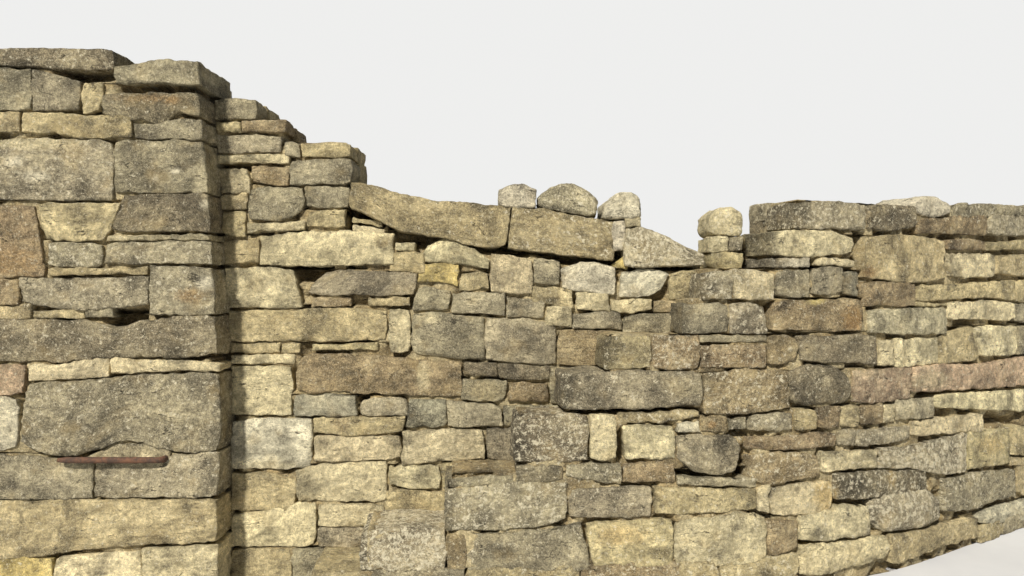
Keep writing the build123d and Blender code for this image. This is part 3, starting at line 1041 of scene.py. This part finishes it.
def lay_course(pile, face, left, right, low, high, rng, tints, depth=BACK_DEPTH, side_cell=BACK_CELL,
               cell=COARSE_CELL):
    """Fills one course between two ends with stones of random lengths. high may be a
    function of the place along the face."""
    top_at = high if callable(high) else lambda along: high
    count = max(int(round((right - left) / MEAN_LENGTH)), 1)
    joints = np.linspace(left, right, count + 1)
    joints[1:-1] += rng.uniform(-JOINT_SCATTER, JOINT_SCATTER, count - 1) * (right - left) / count
    for start, end in zip(joints[:-1], joints[1:]):
        rows = [(low, low, top_at(start), top_at(end))]
        if min(top_at(start), top_at(end)) - low > SPLIT_HEIGHT and rng.random() < SPLIT_SHARE:
            split = rng.uniform(*SPLITS)
            middle = []
            for place in (start, end):
                middle.append(low + split * (top_at(place) - low) + rng.uniform(-JOINT_LEAN, JOINT_LEAN))
            rows = [(low, low, *middle), (*middle, top_at(start), top_at(end))]
        for bottom_left, bottom_right, top_left, top_right in rows:
            lean = rng.uniform(-JOINT_LEAN, JOINT_LEAN, 2) * (start > joints[0], end < joints[-1])
            tint = TINTS[tints[rng.integers(len(tints))]] * rng.uniform(*HIDDEN_TONES)
            top = [(start + lean[0], top_left), (end + lean[1], top_right)]
            bottom = [(start, bottom_left), (end, bottom_right)]
            lay_stone(pile, face, top, bottom, tint, rng, depth=depth, cell=cell, side_cell=side_cell,
                      lichen=rng.choice(HIDDEN_LICHEN))


def lay_rubble(pile, face, left, right, low, high, far):
    """The small rubble that fills a course behind and between its stones."""
    lay_stone(pile, face, [(left, high), (right, high)], [(left, low), (right, low)], TINTS["rubble"],
              np.random.default_rng(5), depth=far - RUBBLE_INSET, sunk=RUBBLE_INSET, radius=RUBBLE_RADIUS,
              joint=0, bulge=0, rough=RUBBLE_ROUGH, cell=RUBBLE_CELL, side_cell=RUBBLE_SIDE_CELL,
              hollows=True)


def through(front, high):
    """How far rubble reaches in to lie a little in front of the back stones' faces."""
    return WALL_BACK - front - RUBBLE_INSET - FACE_BATTER * high


def pier_depth(top, up):
    """Deep stones at the pier's ends and top, shallow ones elsewhere."""
    deep = PIER_HALF + PIER_BOND[course_number("pier_course", up) % 2]
    if up > LEVELS["pier_course"][-1][0]:
        return deep, END_CELL, False
    if top[-1][0] > PIER_RIGHT - NEAR_RETURN:
        return RETURN_DEPTH, OPEN_CELL, False
    if top[0][0] < PIER_LEFT + NEAR_END:
        return deep, END_CELL, False
    return FACE_DEPTH, HIDDEN_CELL, False


def build_pier(rng):
    bond_line = RECESS_LOW.x
    lay_seen_stones(pier_face, PIER_STONES, pier_depth, rng, "pier_course")
    for number, (low, high) in enumerate(LEVELS["pier_course"], start=1):
        pile = piles[f"pier_course_{number:02d}"]
        last = number == len(LEVELS["pier_course"])
        right_high = high - PIER_TOP_STEP * last
        left_high = high - TOP_GAP * last
        depth = PIER_HALF - PIER_BOND[number % 2] - FACE_BATTER * low
        for start, end, top in ((-bond_line, -PIER_TOP_SPLIT, right_high),
                                (-PIER_TOP_SPLIT, -PIER_LEFT, left_high)):
            lay_course(pile, back_face, start, end, low, top, rng, ("grey", "grey", "buff", "dark"), depth)
        top = right_high - PIER_RUBBLE_GAP * last
        lay_rubble(pile, pier_face, PIER_LEFT + RUBBLE_INSET, bond_line - PIER_RUBBLE_END, low, top,
                   through(PIER_FRONT, high))
        lay_rubble(pile, pier_face, bond_line - PIER_RUBBLE_LAP, pier_return(high) - RUBBLE_INSET, low,
                   top, PIER_RUBBLE_DEPTH)


def build_recess(rng):
    lay_seen_stones(recess_face, RECESS_STONES, lambda top, up: (FACE_DEPTH, HIDDEN_CELL, False), rng,
                    "recess_course")
    for number, (low, high) in enumerate(LEVELS["recess_course"], start=1):
        pile = piles[f"recess_course_{number:02d}"]
        lay_course(pile, back_face, -RECESS_HIGH.x, -RECESS_LOW.x, low, high, rng,
                   ("grey", "buff", "brown"), side_cell=HIDDEN_CELL)
        lay_rubble(pile, recess_face, RECESS_LOW.x, RECESS_HIGH.x - RUBBLE_INSET, low, high,
                   through(RECESS_FRONT, high))


def stack_depth(top, up):
    return BACK_DEPTH, OPEN_CELL if top[-1][0] > STACK_OPEN else END_CELL, False


def build_stack(rng):
    lay_seen_stones(recess_face, STACK_STONES, stack_depth, rng, "stack_course")
    for number, (low, high) in enumerate(LEVELS["stack_course"], start=1):
        name = f"stack_course_{number:02d}"
        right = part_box(name)[1].x
        last = number == len(LEVELS["stack_course"])
        lay_course(piles[name], back_face, -right, -RECESS_LOW.x, low, high, rng, ("grey", "buff", "brown"))
        lay_rubble(piles[name], recess_face, RECESS_LOW.x, right - RUBBLE_INSET, low,
                   high - STACK_RUBBLE_GAP * last, through(RECESS_FRONT, high))


def build_slab_bed(rng):
    low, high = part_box("slab_bed")
    pile = piles["slab_bed"]
    fall = (high.z - low.z - BED_THIN_END) / (high.x - low.x)

    def bed_top(along):
        return high.z - fall * (abs(along) - low.x)

    lay_seen_stones(recess_face, SLAB_BED_STONES, lambda top, up: (BACK_DEPTH, HIDDEN_CELL, False), rng,
                    "slab_bed")
    lay_course(pile, back_face, -high.x, -low.x, low.z, bed_top, rng, ("grey", "buff"))
    lay_stone(pile, recess_face, [(low.x, bed_top(low.x)), (high.x, bed_top(high.x))],
              [(low.x, low.z - 0.02), (high.x, low.z - 0.02)], TINTS["rubble"], rng, depth=BED_DEPTH,
              sunk=RUBBLE_INSET, radius=RUBBLE_RADIUS, joint=0, bulge=0, cell=RUBBLE_CELL, hollows=True)


def build_slabs(rng):
    """The two tilted slabs, the small stones on the right one, and the loose end stones."""
    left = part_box("end_stones")[0].x
    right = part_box("end_stones")[1].x
    top = RECESS_HIGH.z
    lay_rubble(piles["end_stones"], recess_face, left + 0.02, right - 0.3, top, top + 0.12, 0.38)
    # Behind the left slab's broken corner
    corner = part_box("left_slab")[0].x
    lay_rubble(piles["slab_bed"], recess_face, corner + 0.01, corner + 0.24, top + 0.2, top + 0.42, 0.5)
    for node, (left_x, right_x, high_y, low_y) in SLAB_PACKING.items():
        left, low = recess_face.seen(left_x, low_y)
        right, high = recess_face.seen(right_x, high_y)
        lay_rubble(piles[node], recess_face, left, right, low, high, 0.4)
    for node, (depth, stones) in LOOSE_STONES.items():
        lay_seen_stones(slab_face, stones, lambda top, up: (depth, OPEN_CELL, True), rng, node)


def wing_depth(top, up):
    """As deep as the recessed wall lets a stone be, or half of the wing's thickness."""
    station = top[0][0]
    if station > WING_END:
        return WING_DEPTH, END_CELL, False
    number = course_number("wing_course", up)
    next_step = WING_STEPS[number] if number < len(WING_STEPS) else WING_LENGTH
    if station >= next_step:
        return FACE_DEPTH, HIDDEN_CELL, False
    x, y = wing_foot(station)
    if x >= RECESS_HIGH.x:
        return WING_DEPTH, OPEN_CELL, False
    room = RECESS_FRONT + FACE_BATTER * up - (y + WING_BATTER * up)
    return min(room / math.cos(wing_heading(station)) + WING_LAP, WING_DEEPEST), OPEN_CELL, False


def build_wing(rng):
    lay_seen_stones(wing_face, WING_STONES, wing_depth, rng, "wing_course")
    low, high = LEVELS["wing_course"][0]
    first = piles["wing_course_01"]
    tints = ("grey", "buff", "brown")
    shown = wing_face.seen(*FOOT_SHOWS)[0]
    covered = wing_face.seen(*FOOT_COVERED)[0]
    lay_course(first, wing_face, 0, shown, low, high, rng, tints, BED_DEPTH, END_CELL, FINE_CELL)
    lay_course(first, wing_face, covered, WING_LENGTH, low, COVERED_HEIGHT, rng, tints, BACK_DEPTH,
               HIDDEN_CELL, FINE_CELL)
    for number, (low, high) in enumerate(LEVELS["wing_course"], start=1):
        pile = piles[f"wing_course_{number:02d}"]
        start = max(WING_BACK_START, WING_STEPS[number - 1])
        lay_course(pile, wing_back, -WING_LENGTH, -start, low, high, rng, ("grey", "buff", "brown", "dark"),
                   WING_BACK_DEPTH - WING_BATTER * low)
        lay_rubble(pile, wing_face, WING_STEPS[number - 1] + RUBBLE_INSET, WING_LENGTH - RUBBLE_INSET, low,
                   high, WING_THICKNESS - RUBBLE_INSET - WING_BATTER * high)


# The iron cramp: a rough forged bar, bent back into the wall at its right end

def cramp_path(low, high, radius):
    """Plan points along the bar's axis."""
    bend_radius = radius + CRAMP_BEND
    axis_y = low.y + radius
    leg_x = high.x - radius
    path = [(x, axis_y) for x in np.linspace(low.x, leg_x - bend_radius, 60)]
    for angle in np.linspace(0, math.pi / 2, 8)[1:]:
        path.append((leg_x - bend_radius + bend_radius * math.sin(angle),
                     axis_y + bend_radius * (1 - math.cos(angle))))
    path.extend((leg_x, y) for y in np.linspace(axis_y + bend_radius, high.y, 6)[1:])
    return np.array(path)


def build_cramp():
    low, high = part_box("iron_cramp")
    radius = (high.z - low.z) / 2
    path = cramp_path(low, high, radius)
    ahead = np.gradient(path, axis=0)
    ahead /= np.linalg.norm(ahead, axis=1)[:, None]
    turn = np.linspace(0, 2 * math.pi, CRAMP_SIDES, endpoint=False)
    taper = np.clip(CRAMP_TIP + (path[:, 0] - low.x) / CRAMP_TAPER * (1 - CRAMP_TIP), CRAMP_TIP, 1)
    across = radius * taper[:, None] * CRAMP_SHARE
    out = np.cos(turn) * across
    x = path[:, :1] - ahead[:, 1:] * out
    y = path[:, 1:] + ahead[:, :1] * out
    height = (high.z + low.z) / 2
    points = np.stack((x, y, height + np.sin(turn) * across), axis=-1).reshape(-1, 3)
    centres = np.repeat(with_depth(path, height), CRAMP_SIDES, axis=0)
    points += (points - centres) / radius * (CRAMP_RUST * fractal(points, CRAMP_RUST_SIZE, 3))[:, None]
    rings = np.arange(len(points)).reshape(len(path), CRAMP_SIDES)
    faces = []
    for ring, next_ring in zip(rings[:-1], rings[1:]):
        faces.extend(between(ring, next_ring).tolist())
    faces.extend((rings[0][::-1].tolist(), rings[-1].tolist()))
    mesh = bpy.data.meshes.new("iron_cramp_bar")
    mesh.from_pydata(points.tolist(), [], faces)
    mesh.validate()
    mesh.shade_smooth()
    show(mesh, "iron_cramp", rust())


# Materials

class Nodes:
    """Makes nodes; their inputs are given by name or number, as values or sockets."""

    def __init__(self, owner):
        owner.use_nodes = True
        self.tree = owner.node_tree

    def node(self, kind, inputs=None, **settings):
        made = self.tree.nodes.new("ShaderNode" + kind)
        for name, value in settings.items():
            setattr(made, name, value)
        for key, value in (inputs or {}).items():
            self.feed(made.inputs[key], value)
        return made

    def feed(self, socket, value):
        if isinstance(value, bpy.types.NodeSocket):
            self.tree.links.new(value, socket)
        else:
            socket.default_value = value

    def math(self, operation, first, second=0.0):
        return self.node("Math", {0: first, 1: second}, operation=operation).outputs[0]

    def product(self, first, second):
        return self.math("MULTIPLY", first, second)


class Shader(Nodes):
    """The nodes of one material."""

    def __init__(self, name):
        self.material = bpy.data.materials.new(name)
        super().__init__(self.material)
        self.surface = self.tree.nodes["Principled BSDF"]

    def attribute(self, name, output):
        return self.node("Attribute", attribute_name=name).outputs[output]

    def noise(self, where, scale, detail=4.0, roughness=0.6):
        inputs = {"Vector": where, "Scale": scale, "Detail": detail, "Roughness": roughness}
        return self.node("TexNoise", inputs).outputs["Fac"]

    def cells(self, where, scale):
        return self.node("TexVoronoi", {"Vector": where, "Scale": scale}).outputs["Distance"]

    def ramp(self, value, low, high, to_low=0.0, to_high=1.0):
        inputs = {"Value": value, "From Min": low, "From Max": high, "To Min": to_low, "To Max": to_high}
        return self.node("MapRange", inputs, interpolation_type="SMOOTHSTEP").outputs["Result"]

    def mix(self, factor, first, second, blend="MIX"):
        inputs = {0: factor, 6: first, 7: second}
        return self.node("Mix", inputs, data_type="RGBA", blend_type=blend).outputs[2]

    def grey(self, value):
        return self.node("CombineColor", {0: value, 1: value, 2: value}).outputs[0]

    def darken(self, base, value):
        return self.mix(1.0, base, self.grey(value), "MULTIPLY")

    def bump(self, height, distance, strength, before=None):
        inputs = {"Height": height, "Distance": distance, "Strength": strength}
        if before:
            inputs["Normal"] = before
        return self.node("Bump", inputs).outputs["Normal"]

    def finish(self, base, roughness, normal=None):
        self.feed(self.surface.inputs["Base Color"], base)
        self.feed(self.surface.inputs["Roughness"], roughness)
        if normal:
            self.feed(self.surface.inputs["Normal"], normal)
        return self.material


def colour(name, tone=1.0):
    return (*(TINTS[name] * tone), 1.0)


# Noise fields of the limestone: scale, detail and roughness
STONE_FIELDS = {
    "broad": (8.0, 5.0, 0.65),
    "dirt": (11.0, 8.0, 0.75),
    "blotch": (19.0, 6.0, 0.7),
    "lichen": (30.0, 6.0, 0.75),
    "middle": (38.0, 5.0, 0.65),
    "flecks": (62.0, 5.0, 0.8),
    "speckle": (105.0, 3.0, 0.7),
    "grain": (190.0, 4.0, 0.7),
    "warm": (5.0, 3.0, 0.6),
}


def grain_shade(shader, fields, dirty):
    """Mottled light and dark; the fine grain is strong where the stone is dirty."""
    shade = shader.product(shader.ramp(fields["broad"], 0.34, 0.66, 0.82, 1.16),
                           shader.ramp(fields["middle"], 0.34, 0.66, 0.84, 1.16))
    shade = shader.product(shade, shader.ramp(fields["blotch"], 0.36, 0.64, 0.82, 1.12))
    fine = shader.product(shader.ramp(fields["grain"], 0.37, 0.63, 0.58, 1.42),
                          shader.ramp(fields["speckle"], 0.38, 0.62, 0.70, 1.32))
    fine = shader.math("ADD", shader.product(shader.math("SUBTRACT", fine, 1.0), dirty), 1.0)
    return shader.product(shader.product(shade, fine), shader.ramp(fields["beds"], 0.3, 0.7, 0.86, 1.1))


def stain(shader, base, fields, dirty, more):
    """Warm areas, dark dirt, and small dark and pale flecks."""
    base = shader.mix(shader.ramp(fields["warm"], 0.52, 0.75, 0.0, 0.3), base, colour("orange", 0.85))
    dirt = shader.ramp(fields["dirt"], 0.55 - more, 0.66 - more, 0.0, 0.52)
    base = shader.mix(dirt, base, colour("soot", 1.5))
    dark = shader.product(shader.ramp(fields["flecks"], 0.55, 0.61),
                          shader.ramp(fields["blotch"], 0.42, 0.56))
    base = shader.mix(shader.product(shader.product(dark, dirty), 0.5), base, colour("soot", 1.4))
    pale = shader.product(shader.ramp(fields["flecks"], 0.45, 0.39),
                          shader.ramp(fields["blotch"], 0.6, 0.46))
    return shader.mix(shader.product(pale, 0.4), base, colour("white", 1.1))


def grow_lichen(shader, base, fields, where, amount, more):
    """Pale lichen in ragged patches and round dots, thick where the stone's amount is high."""
    patches = shader.math("ADD", fields["lichen"], shader.product(amount, 0.09))
    patches = shader.ramp(patches, 0.61 - more, 0.67 - more, 0.0, 0.74)
    base = shader.mix(patches, base, colour("white", 1.1))
    dots = shader.product(shader.ramp(shader.cells(where, 42.0), 0.22, 0.14), amount)
    return shader.mix(shader.product(dots, 0.7), base, colour("white", 1.2))


def limestone(name, more_stain, more_lichen):
    """Weathered limestone: a mottled grain, thin bedding, pits, dark stains, pale lichen, and painted shade
    along each stone's edges.
    """
    shader = Shader(name)
    where = shader.attribute("grain", "Vector")
    tint = shader.attribute("tint", "Color")
    edge_shade_and_lichen = shader.node("SeparateColor", {"Color": shader.attribute("edge_shade_and_lichen", "Color")}).outputs
    flat = shader.node("VectorMath", {0: where, 1: (1.0, 4.0, 1.0)}, operation="MULTIPLY").outputs[0]
    fields = {label: shader.noise(where, *numbers) for label, numbers in STONE_FIELDS.items()}
    fields["beds"] = shader.noise(flat, 14.0)
    dirty = shader.ramp(shader.node("RGBToBW", {"Color": tint}).outputs[0], 0.16, 0.5, 1.0, 0.4)
    base = shader.darken(tint, grain_shade(shader, fields, dirty))
    base = stain(shader, base, fields, dirty, more_stain)
    base = grow_lichen(shader, base, fields, where, edge_shade_and_lichen[1], more_lichen)

    pits = shader.product(shader.ramp(shader.cells(where, 75.0), 0.2, 0.1),
                          shader.ramp(fields["broad"], 0.38, 0.52))
    base = shader.mix(shader.product(pits, 0.6), base, colour("soot"))
    split = shader.math("ABSOLUTE", shader.math("SUBTRACT", shader.noise(flat, 2.4, 5.0, 0.5), 0.5))
    crack = shader.product(shader.ramp(split, 0.007, 0.002), shader.ramp(fields["broad"], 0.53, 0.6))
    base = shader.mix(shader.product(crack, 0.75), base, colour("soot", 0.7))
    # Painted shade: each stone darkens towards its edges, where the joints are
    base = shader.darken(base, shader.ramp(edge_shade_and_lichen[0], 0.0, 0.5, 0.84, 1.0))

    normal = None
    for height, distance, strength in ((fields["middle"], 0.03, 0.8), (fields["beds"], 0.02, 0.4),
                                       (fields["speckle"], 0.01, 0.8), (fields["grain"], 0.009, 0.8),
                                       (pits, -0.006, 0.8), (crack, -0.008, 1.0)):
        normal = shader.bump(height, distance, strength, normal)
    shader.surface.inputs["Specular IOR Level"].default_value = 0.25
    return shader.finish(base, shader.ramp(fields["grain"], 0.2, 0.8, 0.82, 0.97), normal)


def rust():
    """Old wrought iron under brown rust."""
    shader = Shader("rust")
    where = shader.node("TexCoord").outputs["Object"]
    broad = shader.noise(where, 22.0, 6.0, 0.7)
    fine = shader.noise(where, 160.0, 4.0, 0.7)
    base = shader.mix(shader.ramp(broad, 0.4, 0.62), (0.06, 0.034, 0.022, 1), (0.155, 0.072, 0.038, 1))
    base = shader.mix(shader.ramp(fine, 0.55, 0.75, 0.0, 0.6), base, (0.27, 0.14, 0.07, 1))
    normal = shader.bump(fine, 0.003, 0.8, shader.bump(broad, 0.006, 0.6))
    return shader.finish(base, shader.ramp(fine, 0.3, 0.7, 0.75, 0.95), normal)


def floor_material():
    shader = Shader("pale_floor")
    where = shader.node("TexCoord").outputs["Object"]
    shade = shader.ramp(shader.noise(where, 1.5, 3.0), 0.3, 0.7, 0.6, 0.64)
    return shader.finish(shader.grey(shade), 0.9)


# From meshes to pieces

def show(mesh, node, material):
    """Puts a finished mesh in the scene as the piece that stands for a CAD node."""
    piece = bpy.data.objects.new(mesh.name, mesh)
    bpy.context.scene.collection.objects.link(piece)
    mesh.materials.append(material)
    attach(piece, "root")
    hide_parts(node)


def press_inside(points, low, high):
    """Keeps points in the CAD box without laying them all on its sides; the foot stays flat."""
    over = (points - high + BOX_MARGIN) / BOX_MARGIN
    points = np.where(over > 0, high - BOX_MARGIN * np.exp(-np.maximum(over, 0)), points)
    under = (low - points + BOX_MARGIN) / BOX_MARGIN
    under[:, 2] = 0
    points = np.where(under > 0, low + BOX_MARGIN * np.exp(-np.maximum(under, 0)), points)
    return np.maximum(points, low)


def add_layer(mesh, label, kind, key, values):
    layer = mesh.attributes.new(label, kind, "POINT")
    layer.data.foreach_set(key, values.astype(np.float32).ravel())


def pile_mesh(name, pile):
    columns = zip(*pile.parts)
    points, quads, triangles, tints, grain, edge_shade_and_lichen = (np.concatenate(column) for column in columns)
    low, high = (np.array(corner) for corner in cad_bounds)
    points = press_inside(points, low, high)
    mesh = bpy.data.meshes.new(name)
    mesh.from_pydata(points.tolist(), [], quads.tolist() + triangles.tolist())
    add_layer(mesh, "tint", "FLOAT_COLOR", "color", np.column_stack((tints, np.ones(len(tints)))))
    add_layer(mesh, "grain", "FLOAT_VECTOR", "vector", grain)
    add_layer(mesh, "edge_shade_and_lichen", "FLOAT_COLOR", "color", edge_shade_and_lichen)
    mesh.shade_smooth()
    return mesh


# The limestones: the start of the names of their nodes, and how much more stain and lichen
# they have. The last one has the rest of the nodes.
LIMESTONES = {
    "grey_limestone": ("pier", 0.01, 0.015),
    "buff_limestone": (("recess", "stack", "slab_bed"), -0.02, -0.03),
    "weathered_limestone": ("wing", 0.01, 0.03),
    "lichened_limestone": ("", 0.01, 0.02),
}


def show_piles():
    materials = {}
    for slot_name, (_, more_stain, more_lichen) in LIMESTONES.items():
        materials[slot_name] = limestone(slot_name, more_stain, more_lichen)
    for node, pile in piles.items():
        if pile.parts:
            slot_name = next(name for name, (start, _, _) in LIMESTONES.items() if node.startswith(start))
            show(pile_mesh(f"{node}_stones", pile), node, materials[slot_name])


# Floor, light and camera

def set_stage():
    half = 30.0
    mesh = bpy.data.meshes.new("floor")
    corners = [(-half, -half, 0), (half, -half, 0), (half, half, 0), (-half, half, 0)]
    mesh.from_pydata(corners, [], [(0, 1, 2, 3)])
    mesh.materials.append(floor_material())
    floor = bpy.data.objects.new("floor", mesh)
    bpy.context.scene.collection.objects.link(floor)


def set_light():
    """A soft key light from the upper left, and an even fill; the background is pale."""
    lamp = bpy.data.lights.new("key", "SUN")
    lamp.energy = 4.95
    lamp.angle = math.radians(5)
    lamp.color = (1.0, 0.96, 0.89)
    key = bpy.data.objects.new("key", lamp)
    bpy.context.scene.collection.objects.link(key)
    side = math.radians(24)
    lift = math.radians(40)
    toward = Vector((-math.sin(side) * math.cos(lift), -math.cos(side) * math.cos(lift), math.sin(lift)))
    key.rotation_euler = toward.to_track_quat("Z", "Y").to_euler()

    world = bpy.data.worlds.new("world")
    bpy.context.scene.world = world
    nodes = Nodes(world)
    fill = nodes.tree.nodes["Background"]
    fill.inputs["Color"].default_value = (0.86, 0.92, 1.0, 1)
    fill.inputs["Strength"].default_value = 0.2
    pale = nodes.node("Background", {"Color": (0.86, 0.86, 0.85, 1), "Strength": 1.0})
    ray = nodes.node("LightPath").outputs
    seen = nodes.math("ADD", ray["Is Camera Ray"], ray["Is Glossy Ray"])
    seen = nodes.node("Math", {0: seen, 1: ray["Is Transmission Ray"]}, use_clamp=True)
    choose = nodes.node("MixShader", {0: seen.outputs[0], 1: fill.outputs[0], 2: pale.outputs[0]})
    nodes.feed(nodes.tree.nodes["World Output"].inputs["Surface"], choose.outputs[0])


def set_camera():
    data = bpy.data.cameras.new("camera")
    data.sensor_width = SENSOR
    data.lens = FOCAL_PIXELS * SENSOR / IMAGE_WIDTH
    camera = bpy.data.objects.new("camera", data)
    camera.location = CAMERA
    camera.rotation_euler = (math.radians(90), 0, 0)
    bpy.context.scene.collection.objects.link(camera)
    bpy.context.scene.camera = camera


build_pier(np.random.default_rng(11))
build_recess(np.random.default_rng(12))
build_stack(np.random.default_rng(13))
build_slab_bed(np.random.default_rng(14))
build_slabs(np.random.default_rng(15))
build_wing(np.random.default_rng(16))
build_cramp()
show_piles()
set_stage()
set_light()
set_camera()
bpy.context.scene.view_settings.view_transform = "Standard"
